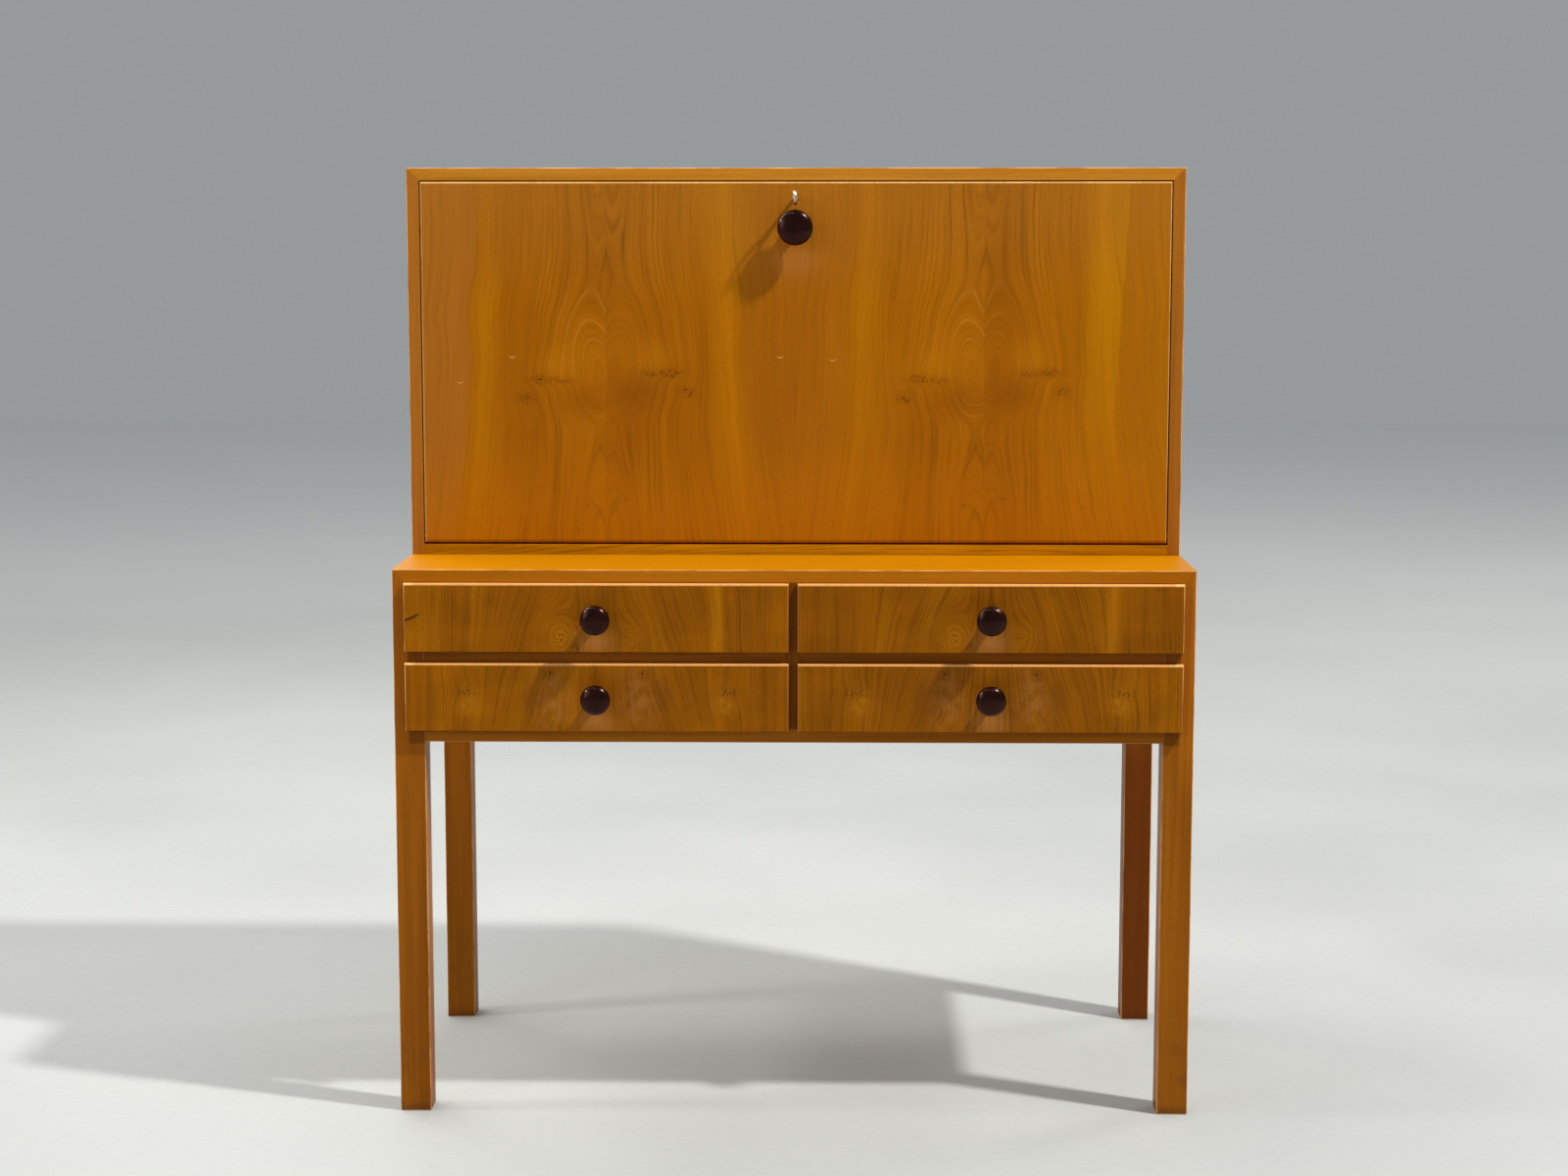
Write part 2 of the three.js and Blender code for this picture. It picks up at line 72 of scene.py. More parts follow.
class Number:
    """A number that varies over a surface. Arithmetic on it makes Math nodes."""

    def __init__(self, tree, socket):
        self.tree = tree
        self.socket = socket

    def apply(self, operation, *others):
        node = self.tree.nodes.new("ShaderNodeMath")
        node.operation = operation
        for socket, value in zip(node.inputs, (self, *others)):
            plug(self.tree, value, socket)
        return Number(self.tree, node.outputs[0])

    def __add__(self, other):
        return self.apply("ADD", other)

    def __sub__(self, other):
        return self.apply("SUBTRACT", other)

    def __mul__(self, other):
        return self.apply("MULTIPLY", other)

    def __truediv__(self, other):
        return self.apply("DIVIDE", other)

    def abs(self):
        return self.apply("ABSOLUTE")

    def positive(self):
        return self.apply("MAXIMUM", 0.0)

    def at_most(self, other):
        return self.apply("MINIMUM", other)

    def length_with(self, other):
        return (self * self + other * other).apply("SQRT")

    def bell(self, centre, width):
        """1 where the number is at the centre, falling away over the width on either side."""
        off = (self - centre) / width
        return (off * off * -1.0).apply("EXPONENT")

    def rise(self, low, high, to_low=0.0, to_high=1.0):
        """Goes smoothly from to_low to to_high as the number goes from low to high."""
        node = self.tree.nodes.new("ShaderNodeMapRange")
        node.interpolation_type = "SMOOTHSTEP"
        if low > high:
            low, high, to_low, to_high = high, low, to_high, to_low
        for name, value in (
            ("Value", self),
            ("From Min", low),
            ("From Max", high),
            ("To Min", to_low),
            ("To Max", to_high),
        ):
            plug(self.tree, value, node.inputs[name])
        return Number(self.tree, node.outputs["Result"])


class Surface:
    """A material being made, with x, y and z of the piece that it is on, in metres."""

    def __init__(self, name):
        self.material = bpy.data.materials.new(name)
        self.material.use_nodes = True
        self.tree = self.material.node_tree
        self.shader = self.tree.nodes["Principled BSDF"]
        place = self.tree.nodes.new("ShaderNodeTexCoord")
        split = self.tree.nodes.new("ShaderNodeSeparateXYZ")
        self.tree.links.new(place.outputs["Object"], split.inputs[0])
        self.x, self.y, self.z = (Number(self.tree, socket) for socket in split.outputs)

    def noise(self, x, y, z=0.0, detail=2.0, roughness=0.5):
        place = self.tree.nodes.new("ShaderNodeCombineXYZ")
        for value, socket in zip((x, y, z), place.inputs):
            plug(self.tree, value, socket)
        node = self.tree.nodes.new("ShaderNodeTexNoise")
        node.inputs["Scale"].default_value = 1.0
        node.inputs["Detail"].default_value = detail
        node.inputs["Roughness"].default_value = roughness
        self.tree.links.new(place.outputs[0], node.inputs["Vector"])
        return Number(self.tree, node.outputs[0])

    def mix(self, amount, first, second, blend="MIX"):
        node = self.tree.nodes.new("ShaderNodeMix")
        node.data_type = "RGBA"
        node.blend_type = blend
        plug(self.tree, amount, node.inputs["Factor"])
        for colour, name in ((first, "A"), (second, "B")):
            socket = next(s for s in node.inputs if s.name == name and s.type == "RGBA")
            plug(self.tree, rgba(colour), socket)
        return next(s for s in node.outputs if s.type == "RGBA")

    def dim(self, colour, factor):
        """The colour times a number."""
        return self.mix(1.0, colour, factor, "MULTIPLY")

    def finish(self, colour, roughness, height=None, bump=0.0, **constants):
        """Sets the colour, roughness and bump, and the shader's constants by their names."""
        plug(self.tree, rgba(colour), self.shader.inputs["Base Color"])
        plug(self.tree, roughness, self.shader.inputs["Roughness"])
        for name, value in constants.items():
            self.shader.inputs[name.replace("_", " ")].default_value = value
        if height is not None:
            node = self.tree.nodes.new("ShaderNodeBump")
            node.inputs["Strength"].default_value = bump
            node.inputs["Distance"].default_value = 0.3 * MM
            plug(self.tree, height, node.inputs["Height"])
            self.tree.links.new(node.outputs[0], self.shader.inputs["Normal"])
        return self.material


def shade(red, green, blue):
    """A colour given as 0 to 255 display values, as linear light."""

    def linear(value):
        value /= 255
        return value / 12.92 if value <= 0.04045 else ((value + 0.055) / 1.055) ** 2.4

    return linear(red), linear(green), linear(blue)


# ---- wood -------------------------------------------------------------------------------
AMBER = (1.0, 0.74, 0.34, 1.0)  # the old varnish's tint


def varnished(surface, colour, across, along, contrast=1.0, gloss=0.38, depth=0.0):
    """Adds the fine grain that every wood here has, and a satin varnish.

    across and along are the piece's coordinates across and along the grain, in metres.
    """
    streaks = surface.noise(across * 210, along * 3.0, depth * 210, 3)
    hair = surface.noise(across * 800, along * 11, depth * 800, 2)
    pores = surface.noise(across * 1700, along * 70, depth * 1700, 1)
    colour = surface.dim(colour, streaks.rise(0.42, 0.72, 1 + 0.02 * contrast, 1 - 0.13 * contrast))
    colour = surface.dim(colour, hair.rise(0.42, 0.75, 1 + 0.02 * contrast, 1 - 0.12 * contrast))
    colour = surface.mix(pores.rise(0.62, 0.74) * (0.30 * contrast), colour, shade(120, 70, 30), "MULTIPLY")
    rough = streaks.rise(0.3, 0.7, gloss - 0.05, gloss + 0.07)
    height = hair * 0.5 + pores * 0.5
    return surface.finish(colour, rough, height, 0.10, Specular_IOR_Level=0.17, Specular_Tint=AMBER)


def plain_wood(name, grain, dark, light, contrast=1.0, gloss=0.40, adjust=None):
    """Straight-grained wood whose grain runs along x, y or z; adjust may change its colour."""
    surface = Surface(name)
    axes = {"x": surface.x, "y": surface.y, "z": surface.z}
    along = axes.pop(grain)
    across, depth = axes.values()
    sway = (surface.noise(across * 5, along * 2.2, depth * 5, 1) - 0.5) * 0.02
    across = across + sway
    slow = surface.noise(across * 14, along * 1.1, depth * 14, 3)
    bands = surface.noise(across * 75, along * 1.7, depth * 75, 2)
    tone = (slow * 0.6 + bands * 0.4).rise(0.36, 0.64)
    colour = surface.mix(tone, dark, light)
    if adjust:
        colour = adjust(surface, colour)
    return varnished(surface, colour, across, along, contrast, gloss, depth)


# ---- the fall's veneer --------------------------------------------------------------------
CURL = 0.952  # height of the curls in the fall's figure
fall_low, fall_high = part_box("fall_front")
SEAM = fall_high.x * 0.506  # the veneer's four leaves meet here and in the middle


def quarter_wave(number, reach):
    """Rises from 0 to 1 over the reach like the first quarter of a sine wave, and stays at 1."""
    return ((number / reach).at_most(1.0) * (math.pi / 2)).apply("SINE")


def fall_veneer():
    """Four mirrored leaves: tall arches beside each seam, curls further out, straight grain beyond.

    u is the distance from the nearest seam, swaying like grain, and t the height above the curls.
    """
    s = Surface("fall_veneer")
    v = s.x - s.x.apply("SIGN") * SEAM
    right = v.rise(-0.0004, 0.0004)
    sway = (s.noise(s.x * 7, s.z * 6, 1.0) - 0.5) * 0.011
    sway = sway + (s.noise(s.x * 38, s.z * 17, 2.0) - 0.5) * 0.0056
    sway = sway + (s.noise(s.x * 200, s.z * 70, 3.0) - 0.5) * 0.0016
    u = v.abs() + sway
    t = s.z - CURL - right * 0.009
    up = t.positive()
    down = (t * -1.0).positive()

    above = (quarter_wave(up, 0.13) + up.rise(0, 0.13)) * 0.0198 * (up.rise(0.13, 0.27) * -0.14 + 1.0)
    below = down.rise(0, 0.066) * 0.034 * (down.rise(0.066, 0.22) * -0.3 + 1.0)
    flare = u.bell(0.085, 0.034) * up.bell(0, 0.045) * down.bell(0, 0.010) * 0.017
    lean = t.bell(0.09, 0.06) * 0.012 + 0.010
    rings = (u - flare - lean).length_with(above + below)
    fan = rings + t.at_most(0.05) * u.rise(0.08, 0.16) * 0.13

    cloud = s.noise(s.x * 10, s.z * 2.4, 4.0, 2)
    bands = s.noise(fan * 120, t * 1.6, right * 0.2, 2)
    broken = s.noise(s.x * 20, s.z * 9, 6.0, 2).rise(0.36, 0.62)
    colour = s.mix(cloud.rise(0.36, 0.64), shade(153, 87, 0), shade(164, 96, 1))
    stripe = (fan + (cloud - 0.5) * 0.02).bell(0.148, 0.020)
    top_left = s.x.rise(-0.26, -0.32) * s.z.rise(1.04, 1.14)
    colour = s.mix(stripe * (top_left * -0.85 + 1.0) * 0.55, colour, shade(177, 109, 0))
    outer = (fan + (bands - 0.5) * 0.012).rise(0.164, 0.178)
    colour = s.mix(outer * (s.x.rise(-0.22, -0.34) * 0.75 + 0.15), colour, shade(160, 95, 24))
    bleached = s.x + s.z * -0.05 + sway * 0.3 + fall_high.z * 0.05
    colour = s.mix(bleached.rise(0.33, 0.44) * 0.5, colour, shade(168, 103, 2))
    golden = bleached.rise(0.380, 0.412) * bleached.rise(0.4430, 0.4405) * s.z.rise(0.86, 1.16, 0.10, 0.70)
    colour = s.mix(golden, colour, shade(184, 119, 0))
    colour = s.mix((s.x + 0.080).bell(0, 0.020) * s.z.rise(1.02, 1.16) * 0.6, colour, shade(176, 114, 4))
    colour = s.mix(right * rings.rise(0.09, 0.02) * 0.35, colour, shade(142, 77, 2))
    colour = s.dim(colour, bands.rise(0.3, 0.7, 0.96, 1.04))

    glow = u.bell(0.062, 0.026) * t.bell(0.020, 0.024)
    colour = s.mix(glow * 0.6, colour, shade(176, 107, 2))
    dusk = u.bell(0.030, 0.040) * t.bell(-0.030, 0.026)
    colour = s.mix(dusk * 0.55, colour, shade(128, 68, 2))
    colour = s.mix(s.z.rise(1.04, 1.20) * 0.45, colour, shade(162, 102, 30))
    colour = s.mix(s.z.rise(0.88, 0.76) * 0.55, colour, shade(173, 103, 0))

    near = rings.rise(0.060, 0.040) * t.rise(0.145, 0.10) * t.rise(-0.09, -0.06)
    figured = (fan.rise(0.16, 0.10) * 0.6 + 0.4) * (near * -0.5 + 0.95)
    lines = s.noise(fan * 330, t * 3.2, right * 0.3, 3).rise(0.53, 0.60)
    fine = s.noise(fan * 800, t * 5.0, right * 0.3 + 4.0, 2).rise(0.54, 0.64)
    grain = lines * (broken * 0.7 + 0.3) * 0.19 + fine * 0.11
    colour = s.dim(colour, grain * figured * -1.0 + 1.03)
    contour = ((rings - 0.009) * 100.0 + 0.5).apply("FRACT").bell(0.5, 0.055)
    pale = contour * near * (broken * 0.7 + 0.3) * (right * -0.5 + 1.0)
    colour = s.mix(pale * 0.30, colour, shade(206, 138, 50))
    cracks = rings.bell(0.0405, 0.0006) * t.rise(0.13, 0.17) + rings.bell(0.0520, 0.0006) * t.rise(0.10, 0.17)
    cracks = cracks + rings.bell(0.0640, 0.0005) * t.rise(0.02, 0.15) * 0.5
    colour = s.mix(cracks * (broken * 0.75 + 0.25) * 0.55, colour, shade(96, 46, 6))

    crinkle = s.noise(u * 330, t * 420, s.x * 3.0, 3).rise(0.50, 0.62)
    curls = u.bell(0.086, 0.016) * (t + 0.001).bell(0, 0.006)
    curls = curls + u.bell(0.058, 0.014) * (t + 0.003).bell(0, 0.004) * 0.7
    curls = curls + u.bell(0.106, 0.010) * t.bell(-0.026, 0.008)
    colour = s.mix(curls * 0.25, colour, shade(120, 64, 4))
    colour = s.mix(curls * crinkle * 0.9, colour, shade(84, 40, 4))
    pin = s.noise(u * 400, t * 400, 5.0, 2).rise(0.5, 0.6)
    pin = pin * u.bell(0.020, 0.009) * t.bell(-0.169, 0.004)
    colour = s.mix(pin * 0.8, colour, shade(108, 54, 8))

    joint = s.x.abs().bell(0, 0.0004) + v.abs().bell(0, 0.0003) * 0.7
    colour = s.mix(joint.at_most(1.0) * 0.32, colour, shade(104, 54, 8))
    fleck = s.noise(s.x * 260, s.z * 150, 9.0, 1).rise(0.80, 0.84)
    colour = s.mix(fleck * 0.5, colour, shade(96, 50, 10))
    split = (s.x + SEAM + 0.039 + (s.noise(s.z * 300, 2.0) - 0.5) * 0.012).bell(0, 0.0007)
    colour = s.mix(split * (s.z - 0.750).bell(0, 0.008) * 0.6, colour, shade(96, 46, 10))
    for x, z in ((-0.377, 0.980), (-0.020, 0.980), (-0.447, 0.946), (0.050, 0.976)):
        dent = (s.x - x).bell(0, 0.0042) * (s.z - z - (s.x - x) * (s.x - x) * 90.0).bell(0, 0.0007)
        colour = s.mix(dent * 0.8, colour, shade(226, 164, 96))
    wear = s.x.bell(0, 0.03) * (s.z - 1.108).bell(0, 0.020)
    colour = s.mix(wear * 0.35, colour, shade(186, 118, 60))
    return varnished(s, colour, fan, s.z, 0.6, 0.36)


# ---- the drawers' veneer ------------------------------------------------------------------
def drawer_veneer(level, side):
    """Two mirrored leaves that meet behind the knob, with knots in the upper row and curls in the lower.

    x and z are measured from the knob and the front's middle, and u is the distance from the joint.
    """
    low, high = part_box(f"drawer_{level}_{side}_front")
    knob_low, knob_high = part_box(f"drawer_{level}_{side}_knob")
    s = Surface(f"drawer_veneer_{level}_{side}")
    row = 0.0 if level == "upper" else 3.0
    column = SIDES[side] * 0.35
    # Painted shade: the right-hand drawers' veneer is painted darker than the left-hand ones'.
    tone = 0.95 if side == "left" else 0.88
    x = s.x - (knob_low.x + knob_high.x) / 2
    z = s.z - (low.z + high.z) / 2
    right = x.rise(-0.0003, 0.0003)
    u = x.abs() + (s.noise(x * 16, z * 22, row + column) - 0.5) * 0.007
    across = u + z * u.bell(0.092, 0.052) * 0.34
    if level == "upper":
        r = (u - 0.047).length_with((z + 0.020) * 0.62)
        near = r.bell(0, 0.026) * (right * -0.6 + 1.0)
        across = across * (near * -1.0 + 1.0) + r * near
    else:
        for centre, level_z, width in ((0.172, 0.008, 0.020), (0.063, 0.028, 0.012), (0.060, -0.020, 0.012)):
            r = (u - centre).length_with((z - level_z) * 1.1)
            across = across + r.bell(0, width) * (0.35 * width)
    slow = s.noise(across * 24, z * 3.0, right * 0.4 + (row + column), 2)
    bands = s.noise(across * 110, z * 3.5, row + column, 2)
    lines = s.noise(across * 640, z * 4.0, row + column, 3)
    broken = s.noise(x * 30, z * 30, row + column, 2).rise(0.36, 0.62)
    colour = s.mix(slow.rise(0.34, 0.66), shade(142, 79, 0), shade(150, 85, 0))
    colour = s.mix(slow.rise(0.56, 0.68) * 0.4, colour, shade(162, 98, 0))
    colour = s.dim(colour, bands.rise(0.3, 0.7, 0.95 * tone, 1.04 * tone))
    colour = s.dim(colour, lines.rise(0.54, 0.58) * (broken * 0.5 + 0.5) * -0.32 + 1.05)
    contour = (across * 150).apply("FRACT").bell(0.5, 0.06) * u.rise(0.17, 0.04)
    colour = s.mix(contour * (broken * 0.7 + 0.3) * 0.40, colour, shade(80, 36, 2))
    cloud = s.noise(x * 13, z * 22, row + column + 2.0, 2)
    colour = s.dim(colour, cloud.rise(0.32, 0.68, 0.90, 1.07))
    speck = s.noise(x * 300, z * 300, row + 5.0, 1)
    if level == "upper":
        knot = (u - 0.046).length_with((z + 0.026) * 0.8)
        amber = knot.bell(0, 0.015) * (right * -0.6 + 1.0) + u.bell(0.156, 0.008) * (right * 0.7 + 0.3)
        colour = s.mix(amber * 0.65, colour, shade(176, 108, 4))
        spots = knot.bell(0, 0.006) * speck.rise(0.50, 0.56) * (right * -0.7 + 1.0)
        warped = knot + (s.noise(x * 130, z * 130, column, 2) - 0.5) * 0.007
        rings = (warped * 150).apply("FRACT").bell(0.5, 0.12) * knot.rise(0.022, 0.012)
        marks = spots.apply("MAXIMUM", rings * knot.rise(0.004, 0.007) * (right * -0.6 + 1.0) * 0.45)
        colour = s.mix(marks * 0.85, colour, shade(72, 32, 6))
    else:
        crinkle = s.noise(u * 330, z * 330, row, 3).rise(0.46, 0.60)
        curls = u.bell(0.170, 0.014) * z.bell(0.006, 0.006) + u.bell(0.060, 0.006) * z.bell(0.030, 0.007)
        torn = s.noise(u * 70, z * 70, row + 1.0, 3).rise(0.44, 0.56)
        pale = u.bell(0.056, 0.022) * z.bell(-0.004, 0.036) * (torn * 0.75 + 0.25)
        colour = s.mix(pale * 0.5, colour, shade(168, 108, 50))
        amber = u.bell(0.166, 0.014) * z.bell(-0.006, 0.018) * (torn * 0.6 + 0.4)
        colour = s.mix(amber * 0.7, colour, shade(176, 112, 14))
        colour = s.mix(u.bell(0.088, 0.012) * z.bell(0.000, 0.022) * 0.45, colour, shade(104, 54, 6))
        colour = s.mix(curls * crinkle * 0.9, colour, shade(74, 34, 4))
    if (level, side) == ("upper", "left"):
        along = s.x - low.x
        wobble = (s.noise(s.x * 200, 0.5) - 0.5) * 0.006
        split = (z + 0.0045 - along * 0.48 - wobble).bell(0, 0.0018)
        colour = s.mix(split * along.rise(0.024, 0.015), colour, shade(58, 24, 6))
    colour = s.mix(x.abs().bell(0, 0.0003) * 0.4, colour, shade(90, 44, 8))
    fleck = s.noise(s.x * 260, s.z * 200, 9.0, 1).rise(0.78, 0.82)
    colour = s.mix(fleck * 0.6, colour, shade(70, 34, 8))
    wear = x.bell(0, 0.020) * (z + 0.030).bell(0, 0.016)
    colour = s.mix(wear * 0.45, colour, shade(186, 124, 66))
    return varnished(s, colour, across, s.z, 0.8, 0.37)


# ---- the other materials --------------------------------------------------------------------
def arris_wood(name, base, pale):
    """The rounded edges, made pale partly where handling has worn the stain thin and partly as a painted
    highlight.
    """
    s = Surface(name)
    wear = s.noise(s.x * 18, s.y * 18, s.z * 18, 4).rise(0.34, 0.60)
    # Painted shade: within the drawers' part of the base the edges keep little of their pale wear and highlight.
    shaded_beside_drawers = s.z.rise(0.488, 0.492) * s.z.rise(0.704, 0.700) * s.x.abs().rise(0.490, 0.486)
    wear = wear * (shaded_beside_drawers * -1.0 + 1.0)
    fine = s.noise(s.x * 220, s.y * 220, s.z * 220, 2)
    colour = s.mix(wear * 0.75 + 0.1, base, pale)
    colour = s.mix(fine.rise(0.55, 0.75) * 0.35, colour, shade(150, 110, 70), "MULTIPLY")
    return s.finish(colour, fine.rise(0.3, 0.7, 0.30, 0.40), fine, 0.08, Specular_IOR_Level=0.35)


def lacquer():
    """The knobs' lacquer: nearly black, with a dark red in it."""
    s = Surface("knob_lacquer")
    cloud = s.noise(s.x * 60, s.y * 60, s.z * 60, 3)
    turned = s.noise(s.x * 12, s.y * 900, s.z * 12, 1)
    colour = s.mix(cloud.rise(0.35, 0.65), shade(9, 1, 1), shade(24, 4, 3))
    rough = cloud.rise(0.3, 0.7, 0.20, 0.27)
    tint = (1.0, 0.45, 0.35, 1.0)
    return s.finish(colour, rough, turned, 0.05, Specular_IOR_Level=0.34, Specular_Tint=tint)


def metal(name, colour, dull, roughness):
    """Metal with a soft tarnish and fine scratches."""
    s = Surface(name)
    tarnish = s.noise(s.x * 90, s.y * 90, s.z * 90, 4)
    scratch = s.noise(s.x * 900, s.y * 300, s.z * 2600, 1)
    mixed = s.mix(tarnish.rise(0.42, 0.66) * 0.8, colour, dull)
    rough = tarnish.rise(0.3, 0.7, roughness - 0.06, roughness + 0.12)
    return s.finish(mixed, rough, scratch, 0.12, Metallic=1.0)


CASE_DARK, CASE_LIGHT = shade(158, 90, 2), shade(176, 106, 10)
FRAME_DARK, FRAME_LIGHT = shade(131, 71, 7), shade(155, 89, 13)
INNER_DARK, INNER_LIGHT = shade(180, 124, 57), shade(206, 154, 86)
LINING_DARK, LINING_LIGHT = shade(196, 152, 96), shade(222, 186, 132)
PANEL_DARK, PANEL_LIGHT = shade(148, 85, 18), shade(166, 100, 28)
# Painted shade: the rails and the divider between the drawers get a darker wood.
SHADED_RAIL_DARK, SHADED_RAIL_LIGHT = shade(110, 58, 2), shade(138, 76, 8)
base_top_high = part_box("base_top")[1]


def ledge_face(s, colour):
    """The base's top face is a bright amber veneer behind a darker lipping."""
    face = s.z.rise(base_top_high.z - 0.0012, base_top_high.z - 0.0004)
    return s.mix(face, colour, shade(180, 115, 0))


def leg_tones(s, colour):
    """Dusty feet; painted light on the stiles beside the drawers, the right one most; painted shade on the leg
    faces behind the drawers; the left legs painted lighter at the top and darker at the feet; a dark rear right
    leg.
    """
    rear = s.y.rise(-0.01, 0.01)
    darker = rear * s.x.rise(-0.01, 0.01) * s.z.rise(0.56, 0.36)
    colour = s.mix(darker * 0.9, colour, shade(98, 44, 8))
    stile = s.x.abs().rise(0.494, 0.499)
    # Painted light: the stiles beside the drawers are painted lighter, the right one most, and the other faces at
    # that height a little darker.
    stile_painted_light = stile * 0.28 + s.x.rise(0.494, 0.499) * 0.20 - 0.10
    colour = s.dim(colour, s.z.rise(0.40, 0.50) * stile_painted_light + 1.0)
    # Painted shade: the leg faces behind the drawers are painted dark like the shaded rails between them.
    shade_behind_drawers = (stile * -1.0 + 1.0) * s.z.rise(0.488, 0.491) * s.z.rise(0.703, 0.700)
    colour = s.mix(shade_behind_drawers * 0.8, colour, shade(104, 56, 6))
    # Painted light and shade: the left legs are painted lighter towards the top and darker towards the feet.
    colour = s.dim(colour, s.x.rise(-0.42, -0.44) * s.z.rise(0.05, 0.42, -0.07, 0.07) + 1.0)
    scuff = s.noise(s.x * 40, s.y * 40, s.z * 26, 4).rise(0.50, 0.66)
    colour = s.mix(scuff * s.z.rise(0.20, 0.01) * 0.35, colour, shade(92, 52, 26))
    return s.mix(s.z.rise(0.016, 0.0) * 0.5, colour, shade(70, 44, 28))


def rail_figure(s, colour):
    """The rail brightens to the right, and long dark arcs of grain run out of its edges."""
    arcs = s.noise(s.x * 9, (s.z - 0.716 + (s.x - 0.2) * (s.x - 0.2) * 0.12) * 420, 1.0, 2)
    colour = s.dim(colour, s.x.rise(-0.4, 0.45, 0.98, 1.14))
    return s.dim(colour, arcs.rise(0.45, 0.66, 1.05, 0.74))


WOODS = {
    "case_veneer": lambda axis: plain_wood(f"case_wood_{axis}", axis, PANEL_DARK, PANEL_LIGHT, 0.8),
    "case_top": lambda axis: plain_wood("case_top_wood", axis, shade(176, 110, 18), shade(192, 126, 38), 0.9),
    "case_rail": lambda axis: plain_wood(
        "case_rail_wood", axis, shade(158, 98, 0), shade(186, 122, 4), 1.0, 0.40, rail_figure
    ),
    "drawer_rail": lambda axis: plain_wood("drawer_rail_wood", axis, SHADED_RAIL_DARK, SHADED_RAIL_LIGHT, 1.1),
    "frame_wood": lambda axis: plain_wood(
        f"frame_wood_{axis}", axis, FRAME_DARK, FRAME_LIGHT, 0.7, 0.44, leg_tones if axis == "z" else None
    ),
    "inner_wood": lambda axis: plain_wood(f"inner_wood_{axis}", axis, INNER_DARK, INNER_LIGHT, 0.7, 0.5),
    "drawer_lining": lambda axis: plain_wood(
        f"lining_wood_{axis}", axis, LINING_DARK, LINING_LIGHT, 0.6, 0.6
    ),
    "ledge": lambda axis: plain_wood("ledge_wood", axis, CASE_DARK, CASE_LIGHT, 0.6, 0.36, ledge_face),
}
OWN_WOOD = {
    "base_top": "ledge",
    "case_top": "case_top",
    "case_bottom": "case_rail",
    "mid_board_left": "drawer_rail",
    "mid_board_right": "drawer_rail",
    "base_partition": "drawer_rail",
}
made_woods = {}


def wood(slot, axis):
    """The slot's wood with its grain along the axis, made once."""
    if (slot, axis) not in made_woods:
        made_woods[slot, axis] = WOODS[slot](axis)
    return made_woods[slot, axis]


# The arrises and lippings are light partly from wear and the lighter lipping wood, and partly as painted
# highlight.
ARRIS = arris_wood("worn_and_highlit_arris", shade(158, 92, 24), shade(218, 158, 90))
LIPPING = arris_wood("lipping", shade(214, 149, 78), shade(236, 182, 115))
LACQUER = lacquer()
BRASS = metal("brass", (0.62, 0.42, 0.14), (0.30, 0.19, 0.08), 0.30)
STEEL = metal("steel", (0.62, 0.55, 0.45), (0.28, 0.24, 0.20), 0.32)
FALL_VENEER = fall_veneer()


# ---- working with meshes ------------------------------------------------------------------
def clean_normals(mesh):
    """Drops any stored normals and shades the mesh smooth."""
    if "custom_normal" in mesh.attributes:
        mesh.attributes.remove(mesh.attributes["custom_normal"])
    mesh.shade_smooth()


def sharp_corners():
    """A geometry node group that keeps corners over 30 degrees sharp on a smooth surface."""
    group = bpy.data.node_groups.new("sharp_corners", "GeometryNodeTree")
    for direction in ("INPUT", "OUTPUT"):
        group.interface.new_socket("Geometry", in_out=direction, socket_type="NodeSocketGeometry")
    start, end = group.nodes.new("NodeGroupInput"), group.nodes.new("NodeGroupOutput")
    angle = group.nodes.new("GeometryNodeInputMeshEdgeAngle")
    over = group.nodes.new("FunctionNodeCompare")
    over.data_type = "FLOAT"
    over.operation = "GREATER_THAN"
    over.inputs["B"].default_value = math.radians(30)
    shading = group.nodes.new("GeometryNodeSetShadeSmooth")
    shading.domain = "EDGE"
    shading.inputs["Shade Smooth"].default_value = False
    group.links.new(angle.outputs["Unsigned Angle"], over.inputs["A"])
    group.links.new(over.outputs[0], shading.inputs["Selection"])
    group.links.new(start.outputs[0], shading.inputs["Geometry"])
    group.links.new(shading.outputs[0], end.inputs[0])
    return group


SHARP_CORNERS = sharp_corners()


def add_bevel(piece, width, segments, method):
    """Rounds edges that the method picks: by their ANGLE, or by the WEIGHT that round_weight gave them."""
    corners = piece.modifiers.new("corners", "NODES")
    corners.node_group = SHARP_CORNERS
    bevel = piece.modifiers.new("round", "BEVEL")
    bevel.width = width
    bevel.segments = segments
    bevel.limit_method = method
    bevel.angle_limit = math.radians(35)
    bevel.harden_normals = True
    bevel.use_clamp_overlap = method == "ANGLE"
    return bevel


def merge_faces(piece):
    """Joins the triangles of each flat face of a carried-over CAD node."""
    weld = piece.modifiers.new("weld", "WELD")
    weld.merge_threshold = 0.02 * MM
    flat = piece.modifiers.new("flat", "DECIMATE")
    flat.decimate_type = "DISSOLVE"
    flat.angle_limit = math.radians(0.6)


def soften(piece, width, segments=2):
    """Rounds all of the piece's sharp edges a little."""
    clean_normals(piece.data)
    merge_faces(piece)
    add_bevel(piece, width, segments, "ANGLE")


def key_of(*points):
    """A pair of points as a key that doesn't depend on their order or on the last digits."""
    return frozenset(tuple(round(value * 1e5) for value in point) for point in points)


